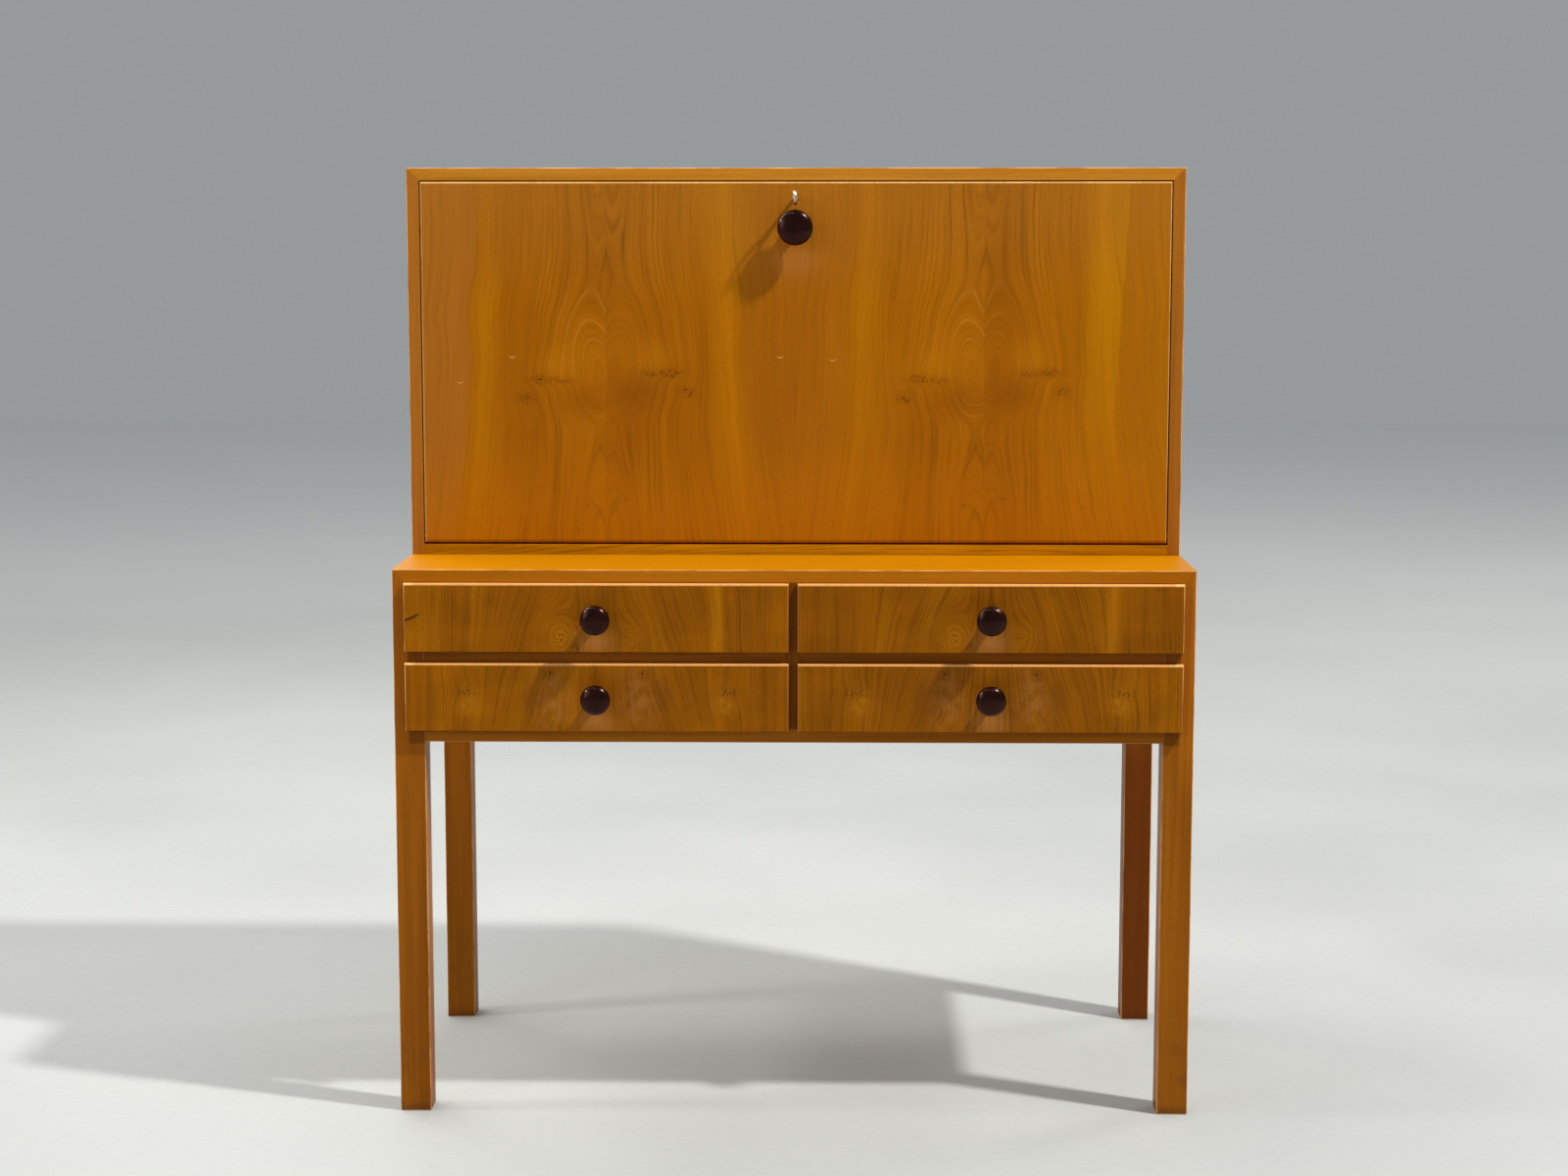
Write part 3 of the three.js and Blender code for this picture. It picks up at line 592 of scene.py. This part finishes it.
def exposed_edges(name):
    """The square outer corners of a board that no neighbour covers."""
    others = []
    for other in nodes:
        low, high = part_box(other)
        gap = (0.5 if BODY_OF[other] == BODY_OF[name] else 3.0) * MM
        if other != name:
            others.append((low - Vector((gap, gap, gap)), high + Vector((gap, gap, gap))))
    shape = bmesh.new()
    shape.from_mesh(nodes[name].data)
    bmesh.ops.remove_doubles(shape, verts=shape.verts, dist=0.02 * MM)

    def covered(point):
        return any(all(low[i] < point[i] < high[i] for i in range(3)) for low, high in others)

    found = set()
    for edge in shape.edges:
        if len(edge.link_faces) != 2 or edge.calc_face_angle(0) < math.radians(35) or not edge.is_convex:
            continue
        if any(max(abs(n) for n in face.normal) < 0.999 for face in edge.link_faces):
            continue
        first, second = (vertex.co for vertex in edge.verts)
        if sum(covered(first.lerp(second, f)) for f in (0.2, 0.5, 0.8)) < 2:
            found.add(key_of(first, second))
    shape.free()
    return found


def round_arrises(name, width, segments, arris):
    """Rounds a carried-over board's exposed edges, with the pale edge material, partly wear and partly painted
    highlight, on them if arris is set.
    """
    piece = nodes[name]
    exposed = exposed_edges(name)
    clean_normals(piece.data)
    round_weight(piece.data, lambda first, second: float(key_of(first, second) in exposed))
    merge_faces(piece)
    bevel = add_bevel(piece, width, segments, "WEIGHT")
    if arris:
        bevel.material = 1


def dress(piece, *materials):
    """Gives the piece these materials and no others."""
    piece.data.materials.clear()
    for material in materials:
        piece.data.materials.append(material)


def new_piece(name, mesh, body, materials, replaces=()):
    """A piece of scene.py's own, whose mesh is made in place, in the shared frame."""
    piece = bpy.data.objects.new(name, mesh)
    bpy.context.scene.collection.objects.link(piece)
    dress(piece, *materials)
    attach(piece, body)
    if replaces:
        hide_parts(*replaces)
    return piece


def to_mesh(name, shape):
    """Turns a finished bmesh into a mesh, with its normals outwards."""
    bmesh.ops.recalc_face_normals(shape, faces=shape.faces)
    mesh = bpy.data.meshes.new(name)
    shape.to_mesh(mesh)
    shape.free()
    return mesh


def box_shape(low, high):
    shape = bmesh.new()
    size = Vector(high) - Vector(low)
    place = Matrix.Translation((Vector(low) + Vector(high)) / 2) @ Matrix.Diagonal((*size, 1))
    bmesh.ops.create_cube(shape, size=1, matrix=place)
    return shape


def lathe(profile, turn=Matrix.Identity(4), sides=64):
    """A solid turned about +Z from (radius, height) points, the first and last on the axis."""
    shape = bmesh.new()
    rings = []
    for radius, height in profile:
        if radius == 0:
            rings.append([shape.verts.new((0, 0, height))])
            continue
        angles = (2 * math.pi * i / sides for i in range(sides))
        rings.append([shape.verts.new((radius * math.cos(a), radius * math.sin(a), height)) for a in angles])
    for below, above in zip(rings, rings[1:]):
        for i in range(sides):
            corners = [below[i % len(below)], below[(i + 1) % len(below)]]
            corners += [above[(i + 1) % len(above)], above[i % len(above)]]
            shape.faces.new(list(dict.fromkeys(corners)))
    shape.transform(turn)
    return shape


def rod(radius, length, turn):
    """A plain cylinder, for drilling a hole."""
    return lathe([(0, 0), (radius, 0), (radius, length), (0, length)], turn, 32)


def catmull_rom(before, start, end, after, f):
    """The number at fraction f of the way from start to end."""
    bend = (2 * before - 5 * start + 4 * end - after) * f * f
    twist = (3 * start - before - 3 * end + after) * f**3
    return 0.5 * (2 * start + (end - before) * f + bend + twist)


def smooth_curve(points, steps):
    """Catmull-Rom points through the given (a, b) points."""
    out = []
    for i in range(len(points) - 1):
        before, start, end = points[max(i - 1, 0)], points[i], points[i + 1]
        after = points[min(i + 2, len(points) - 1)]
        for step in range(steps):
            four = zip(before, start, end, after)
            out.append(tuple(catmull_rom(*numbers, step / steps) for numbers in four))
    return out + [points[-1]]


def combine(mesh, shapes, operation="DIFFERENCE"):
    """The mesh with the shapes taken out of it, or joined to it by UNION."""
    whole = bpy.data.objects.new("whole", mesh)
    bpy.context.scene.collection.objects.link(whole)
    helpers = [whole]
    for shape in shapes:
        other = bpy.data.objects.new("other", to_mesh("other", shape))
        bpy.context.scene.collection.objects.link(other)
        helpers.append(other)
        boolean = whole.modifiers.new("combine", "BOOLEAN")
        boolean.operation = operation
        boolean.solver = "EXACT"
        boolean.object = other
    graph = bpy.context.evaluated_depsgraph_get()
    result = bpy.data.meshes.new_from_object(whole.evaluated_get(graph))
    for helper in helpers:
        bpy.data.objects.remove(helper)
    return result


# ---- fronts with lippings -----------------------------------------------------------------
LIP = {"top": 2.5 * MM, "side": 1.3 * MM}
ROUND = {"top": 2.1 * MM, "side": 1.0 * MM, "bottom": 0.9 * MM}
FACE_THICKNESS = 9.0 * MM  # of the part of a drawer's front that laps over its opening
FALL_HEEL = 5 * MM  # radius of the fall's lower edges, which lets it turn


def round_weight(mesh, weights):
    """Sets how much of the Bevel modifier's width each edge gets, from a function of its two ends."""
    layer = mesh.attributes.get("bevel_weight_edge")
    layer = layer or mesh.attributes.new("bevel_weight_edge", "FLOAT", "EDGE")
    for edge in mesh.edges:
        first, second = (mesh.vertices[i].co for i in edge.vertices)
        layer.data[edge.index].value = weights(first, second)


def both(first, second, axis, value):
    """Whether both points lie at the value along the axis."""
    return abs(first[axis] - value) < 0.01 * MM and abs(second[axis] - value) < 0.01 * MM


def round_front(piece, low, high, extra=None):
    """Rounds the four front edges by ROUND, the top one most."""
    largest = max(max(ROUND.values()), extra[1] if extra else 0)

    def weights(first, second):
        if extra and extra[0](first, second):
            return extra[1] / largest
        if not both(first, second, 1, low.y):
            return 0.0
        if both(first, second, 2, high.z):
            return ROUND["top"] / largest
        if both(first, second, 2, low.z):
            return ROUND["bottom"] / largest
        if both(first, second, 0, low.x) or both(first, second, 0, high.x):
            return ROUND["side"] / largest
        return 0.0

    clean_normals(piece.data)
    round_weight(piece.data, weights)
    add_bevel(piece, largest, 4, "WEIGHT")


def cut_lines(shape, axis, places):
    """Adds edges all round the shape where it meets each plane, to end a material there."""
    for place in places:
        point, normal = Vector((0, 0, 0)), Vector((0, 0, 0))
        point[axis] = place
        normal[axis] = 1
        everything = shape.verts[:] + shape.edges[:] + shape.faces[:]
        bmesh.ops.bisect_plane(shape, geom=everything, plane_co=point, plane_no=normal)


def lipping_faces(mesh, low, high, side_index, back_index):
    """Gives the top lipping material 1, the side ones side_index, and the inner face back_index."""
    for face in mesh.polygons:
        centre = face.center
        side = centre.x < low.x + LIP["side"] or centre.x > high.x - LIP["side"]
        face.material_index = 1 if centre.z > high.z - LIP["top"] else side_index if side else 0
        if centre.y > low.y + 1 * MM and face.normal.y > 0.9:
            face.material_index = back_index


def drawer_front(level, side):
    """The lipped face of a drawer, and the narrower board behind it that fills the opening."""
    name = f"drawer_{level}_{side}"
    low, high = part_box(f"{name}_front")
    lining_low, lining_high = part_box(f"{name}_side_inner")
    outer_low, outer_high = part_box(f"{name}_side_outer")
    lip_back = low.y + FACE_THICKNESS
    face_low, face_high = Vector(low), Vector((high.x, lip_back, high.z))
    shape = box_shape(face_low, face_high)
    cut_lines(shape, 0, (low.x + LIP["side"], high.x - LIP["side"]))
    cut_lines(shape, 2, (high.z - LIP["top"],))
    mesh = to_mesh(f"{name}_face", shape)
    materials = (drawer_veneer(level, side), LIPPING, ARRIS)
    face = new_piece(f"{name}_face", mesh, name, materials, (f"{name}_front",))
    lipping_faces(mesh, face_low, face_high, side_index=2, back_index=1)
    round_front(face, face_low, face_high)

    ends = (lining_low.x, lining_high.x, outer_low.x, outer_high.x)
    rebate_low = Vector((min(ends), lip_back, max(low.z, lining_low.z + 0.5 * MM)))
    rebate_high = Vector((max(ends), high.y, lining_high.z + 5 * MM))
    rebate = to_mesh(f"{name}_rebate", box_shape(rebate_low, rebate_high))
    materials = (wood("drawer_lining", "x"),)
    soften(new_piece(f"{name}_rebate", rebate, name, materials), 0.5 * MM)


def joint_place(name):
    """A point on the joint's axis, from the frame."""
    return Vector(next(joint for joint in frame["joints"] if joint["name"] == name)["pos_m"])


def fall_panel():
    """The lipped fall, with the lock's bed, the keyhole and the holes for its pivots."""
    low, high = fall_low, fall_high
    lock_low, lock_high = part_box("lock_case")
    shape = box_shape(low, high)
    cut_lines(shape, 0, (low.x + LIP["side"], high.x - LIP["side"]))
    cut_lines(shape, 2, (high.z - LIP["top"],))
    mesh = to_mesh("fall_panel", shape)
    gap = 0.2 * MM
    margin = Vector((gap, gap, gap))
    lock_bed = box_shape(lock_low - margin, Vector((lock_high.x + gap, high.y + 1 * MM, high.z + 1 * MM)))
    axis_z = joint_place("key_turn").z
    ahead, depth = low.y - 2 * MM, 24 * MM
    inwards = Matrix.Rotation(-math.pi / 2, 4, "X")
    bore = rod(3.4 * MM, depth, Matrix.Translation((0, ahead, axis_z)) @ inwards)
    slot = box_shape((-2.3 * MM, ahead, axis_z - 9.6 * MM), (2.3 * MM, low.y + depth, axis_z))
    pivots = []
    hinge = joint_place("fall_hinge")
    for sign in SIDES.values():
        inner_end = Matrix.Translation((sign * (high.x - 14 * MM), hinge.y, hinge.z))
        pivots.append(rod(3.25 * MM, 20 * MM, inner_end @ Matrix.Rotation(sign * math.pi / 2, 4, "Y")))
    mesh = combine(mesh, [lock_bed, bore, slot, *pivots])
    materials = (FALL_VENEER, LIPPING, wood("inner_wood", "x"))
    panel = new_piece("fall_panel", mesh, "fall", materials, ("fall_front",))
    lipping_faces(mesh, low, high, side_index=1, back_index=2)

    def lower_edge(first, second):
        at_bottom = both(first, second, 2, low.z)
        return at_bottom and (both(first, second, 1, low.y) or both(first, second, 1, high.y))

    round_front(panel, low, high, (lower_edge, FALL_HEEL))


# ---- knobs and key ------------------------------------------------------------------------
def knob(node, body):
    """A mushroom knob turned in one piece: a domed cap, a waisted neck and a flared foot."""
    low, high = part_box(node)
    r = (high.x - low.x) / 2
    foot_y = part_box(node.replace("knob", "front"))[0].y
    h = foot_y - low.y
    outline = [
        (0, 0.2 * MM),
        (r * 0.50, 0.2 * MM),
        (r * 0.52, h * 0.035),
        (r * 0.49, h * 0.08),
        (r * 0.41, h * 0.18),
        (r * 0.38, h * 0.32),
        (r * 0.44, h * 0.44),
        (r * 0.62, h * 0.515),
        (r * 0.86, h * 0.555),
        (r * 0.975, h * 0.615),
        (r, h * 0.69),
        (r * 0.965, h * 0.78),
        (r * 0.83, h * 0.885),
        (r * 0.60, h * 0.955),
        (r * 0.32, h * 0.99),
        (0, h),
    ]
    curve = [outline[0]] + smooth_curve(outline[1:], 5)
    curve[-1] = (0, h)
    foot = Matrix.Translation(((low.x + high.x) / 2, foot_y, (low.z + high.z) / 2))
    turn = foot @ Matrix.Rotation(math.pi / 2, 4, "X")
    mesh = to_mesh(f"{node}_turned", lathe(curve, turn))
    mesh.shade_smooth()
    new_piece(f"{node}_turned", mesh, body, (LACQUER,), (node,))


def key():
    """A ring for a bow, a turned shank with two collars, and a plain bit."""
    low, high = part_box("key")
    axis_z = (low.z + high.z) / 2
    wire, half_width, bow_half = 1.9 * MM, 2.2 * MM, 12 * MM
    ring = bmesh.new()
    turns, sides = 48, 16
    rows = []
    for i in range(turns):
        a = 2 * math.pi * i / turns
        centre = Vector((0, math.cos(a) * (bow_half - wire), math.sin(a) * (high.z - axis_z - wire)))
        outward = Vector((0, math.cos(a), math.sin(a)))
        row = []
        for j in range(sides):
            b = 2 * math.pi * j / sides
            aside = Vector((math.sin(b) * half_width, 0, 0))
            row.append(ring.verts.new(centre + outward * math.cos(b) * wire + aside))
        rows.append(row)
    for i in range(turns):
        for j in range(sides):
            below, above = rows[i], rows[(i + 1) % turns]
            ring.faces.new((below[j], below[(j + 1) % sides], above[(j + 1) % sides], above[j]))
    ring.transform(Matrix.Translation((0, low.y + bow_half, axis_z)))

    start = low.y + 2 * bow_half - 1.5 * MM
    length = high.y - start
    profile = [
        (0, 0),
        (2.4, 0),
        (2.5, 0.8),
        (3.5, 1.1),
        (3.7, 2.3),
        (3.5, 3.5),
        (2.7, 3.9),
        (2.6, 5.2),
        (3.0, 5.5),
        (3.0, 6.7),
        (2.5, 7.0),
        (2.5, length / MM - 0.4),
        (2.1, length / MM),
        (0, length / MM),
    ]
    turn = Matrix.Translation((0, start, axis_z)) @ Matrix.Rotation(-math.pi / 2, 4, "X")
    shank = lathe([(r * MM, y * MM) for r, y in profile], turn, 32)
    bit_front, bit_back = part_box("lock_case")[0].y + 1.7 * MM, high.y - 1.8 * MM
    bit = box_shape((-1.6 * MM, bit_front, axis_z - 8.5 * MM), (1.6 * MM, bit_back, axis_z - 1 * MM))
    mesh = combine(to_mesh("key_whole", shank), [ring, bit], "UNION")
    mesh.shade_smooth()
    mesh.set_sharp_from_angle(angle=math.radians(40))
    new_piece("key_turned", mesh, "key", (STEEL,), ("key",))


def screw_head(radius):
    """A countersunk screw's slotted head, its top a little above z = 0."""
    rise, sunk = 0.25 * MM, -0.6 * MM
    profile = [(0, sunk), (radius * 0.8, sunk), (radius, 0.02 * MM), (radius * 0.7, rise * 0.7), (0, rise)]
    slot = box_shape((-radius * 1.2, -radius * 0.13, -0.25 * MM), (radius * 1.2, radius * 0.13, 1 * MM))
    return combine(to_mesh("screw", lathe(profile, sides=24)), [slot])


def screws(name, body, material, radius, places):
    """One piece made of a body's screw heads, each given by its place and the way it faces."""
    pick = random.Random(name)
    head = screw_head(radius)
    shape = bmesh.new()
    for place, facing in places:
        copy = head.copy()
        spin = Matrix.Rotation(pick.uniform(0, math.pi), 4, "Z")
        tilt = Vector(facing).to_track_quat("Z", "Y").to_matrix().to_4x4()
        copy.transform(Matrix.Translation(place) @ tilt @ spin)
        shape.from_mesh(copy)
        bpy.data.meshes.remove(copy)
    new_piece(name, to_mesh(name, shape), body, (material,))


def fasteners():
    """The slotted screws of the fittings and of the back panels."""
    strike_low, strike_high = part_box("strike_plate")
    strike_y = (strike_low.y + strike_high.y) / 2
    brass = [((x * MM, strike_y, strike_low.z), (0, 0, -1)) for x in (-19.8, 19.8)]
    feet = []
    for side, sign in SIDES.items():
        face_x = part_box(f"case_side_{side}")[0 if sign > 0 else 1].x
        plate_low, plate_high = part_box(f"pivot_plate_{side}")
        plate_y = (plate_low.y + plate_high.y) / 2
        brass += [((face_x, plate_y, plate_low.z + up * MM), (-sign, 0, 0)) for up in (22, 36)]
        guide_low, guide_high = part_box(f"stay_guide_{side}")
        guide = (guide_low + guide_high) / 2
        guide_x = guide_low.x if sign > 0 else guide_high.x
        brass += [((guide_x, guide.y, guide.z + up * MM), (-sign, 0, 0)) for up in (-6.8, 6.8)]
        foot_low, foot_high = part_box(f"quadrant_{side}")
        foot = Vector(((foot_low.x + foot_high.x) / 2, fall_high.y + 2.4 * MM, foot_high.z - 20 * MM))
        feet += [(foot + Vector((0, 0, up * MM)), (0, 1, 0)) for up in (-14, 14)]
    screws("case_screws", "case", BRASS, 2.0 * MM, brass)
    screws("stay_screws", "fall", BRASS, 2.2 * MM, feet)

    lock_low, lock_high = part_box("lock_case")
    corners = [(x * MM, z) for x in (-27, 27) for z in (lock_low.z + 5.5 * MM, lock_high.z - 5.5 * MM)]
    lock = [((x, lock_high.y, z), (0, 1, 0)) for x, z in corners]
    screws("lock_screws", "fall", STEEL, 1.9 * MM, lock)

    panels = []
    for panel, columns, rows in (("case_back", 5, 4), ("base_back", 5, 2)):
        low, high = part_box(panel)
        for i in range(columns):
            for j in range(rows):
                if 0 < i < columns - 1 and 0 < j < rows - 1:
                    continue
                x = low.x + 8 * MM + (high.x - low.x - 16 * MM) * i / (columns - 1)
                z = low.z + 8 * MM + (high.z - low.z - 16 * MM) * j / (rows - 1)
                panels.append(((x, high.y, z), (0, 1, 0)))
    screws("back_screws", "case", BRASS, 3.0 * MM, panels)


# ---- the desk's own boards ----------------------------------------------------------------
def along_x(node):
    """Whether a board's grain runs from side to side."""
    level = ("rail", "mid_board", "_top", "case_bottom", "desk_floor", "panel")
    return any(word in node for word in level) or node.endswith(("_back", "_bottom"))


def dress_cad():
    """Gives the CAD's own boards and fittings their materials, and rounds their edges."""
    metals = {"brass": BRASS, "steel": STEEL}
    slots = {part["node"]: part["material_slot"] for part in record["subparts"]}
    for name, node in nodes.items():
        slot = slots[name]
        if slot in metals:
            dress(node, metals[slot])
            soften(node, 0.25 * MM)
        elif slot == "drawer_lining":
            dress(node, wood(slot, "y" if "_side_" in name else "x"))
            soften(node, 0.6 * MM)
        elif slot == "inner_wood":
            dress(node, wood(slot, "x" if along_x(name) else "z"))
            round_arrises(name, 0.8 * MM, 2, arris=False)
        elif slot in WOODS:
            grain = "x" if along_x(name) else "z"
            dress(node, wood(OWN_WOOD.get(name, slot), grain), ARRIS)
            round_arrises(name, 1.2 * MM, 3, arris=True)


# ---- stage, lights and camera -------------------------------------------------------------
def stage():
    """A pale floor that brightens outwards, in an even grey-white surrounding light."""
    mesh = to_mesh("floor", box_shape((-14, -14, -0.02), (14, 14, 0)))
    floor = bpy.data.objects.new("floor", mesh)
    bpy.context.scene.collection.objects.link(floor)
    s = Surface("pale_floor")
    cloud = s.noise(s.x * 1.3, s.y * 1.3, 0.0, 4)
    grit = s.noise(s.x * 60, s.y * 60, 0.0, 3)
    colour = s.mix((cloud * 0.7 + grit * 0.3).rise(0.3, 0.7), (0.37, 0.385, 0.38), (0.41, 0.425, 0.42))
    colour = s.mix(s.x.length_with(s.y).rise(1.5, 7.0), colour, (0.86, 0.88, 0.87))
    dress(floor, s.finish(colour, cloud.rise(0.3, 0.7, 0.55, 0.7)))

    world = bpy.data.worlds.new("studio")
    world.use_nodes = True
    world.node_tree.nodes["Background"].inputs["Color"].default_value = (0.86, 0.90, 0.92, 1)
    world.node_tree.nodes["Background"].inputs["Strength"].default_value = 0.36
    bpy.context.scene.world = world
    bpy.context.scene.view_settings.view_transform = "Standard"


def area_light(name, place, target, size, watts, colour):
    light = bpy.data.lights.new(name, "AREA")
    light.shape = "RECTANGLE"
    light.size, light.size_y = size
    light.energy = watts
    light.color = colour
    lamp = bpy.data.objects.new(name, light)
    lamp.location = place
    lamp.rotation_euler = (Vector(target) - Vector(place)).to_track_quat("-Z", "Y").to_euler()
    bpy.context.scene.collection.objects.link(lamp)


def lights():
    """A small strong lamp high on the right, soft ones on the left and overhead, and three behind."""
    middle = Vector((0, -0.02, 0.85))
    area_light("key", (3.6, -1.7, 5.9), middle, (0.32, 0.32), 540, (1, 0.97, 0.93))
    area_light("left_lamp", (-2.5, -0.3, 2.4), middle, (0.3, 0.3), 30, (1, 0.96, 0.90))
    area_light("window", (-3.0, -2.6, 2.0), middle, (1.4, 1.8), 30, (0.95, 0.98, 1.0))
    area_light("overhead", (-0.8, -0.6, 3.3), middle, (2.6, 0.35), 9, (1.0, 0.97, 0.93))
    area_light("back", (-1.2, 2.6, 2.8), middle, (3.0, 1.2), 50, (1.0, 0.98, 0.95))
    area_light("strip_left", (-2.0, 0.9, 3.2), middle, (1.8, 1.0), 50, (1.0, 0.96, 0.90))
    area_light("strip_right", (2.1, 1.0, 3.1), middle, (0.6, 0.6), 20, (1.0, 0.96, 0.90))


def camera():
    """Stands where the desk's own lines put it: 3.4 m in front, a little below the height of its top."""
    data = bpy.data.cameras.new("camera")
    data.lens = 63.0
    data.sensor_width = 36.0
    eye = bpy.data.objects.new("camera", data)
    eye.location = (0.0483, -3.7073, 1.1277)
    eye.rotation_euler = (math.radians(90 - 7.1078), 0, math.radians(0.9889))
    bpy.context.scene.collection.objects.link(eye)
    bpy.context.scene.camera = eye


camera()
lights()
stage()
dress_cad()
for side_name in SIDES:
    for level_name in ("upper", "lower"):
        drawer = f"drawer_{level_name}_{side_name}"
        drawer_front(level_name, side_name)
        knob(f"{drawer}_knob", drawer)
fall_panel()
knob("fall_knob", "fall")
key()
fasteners()
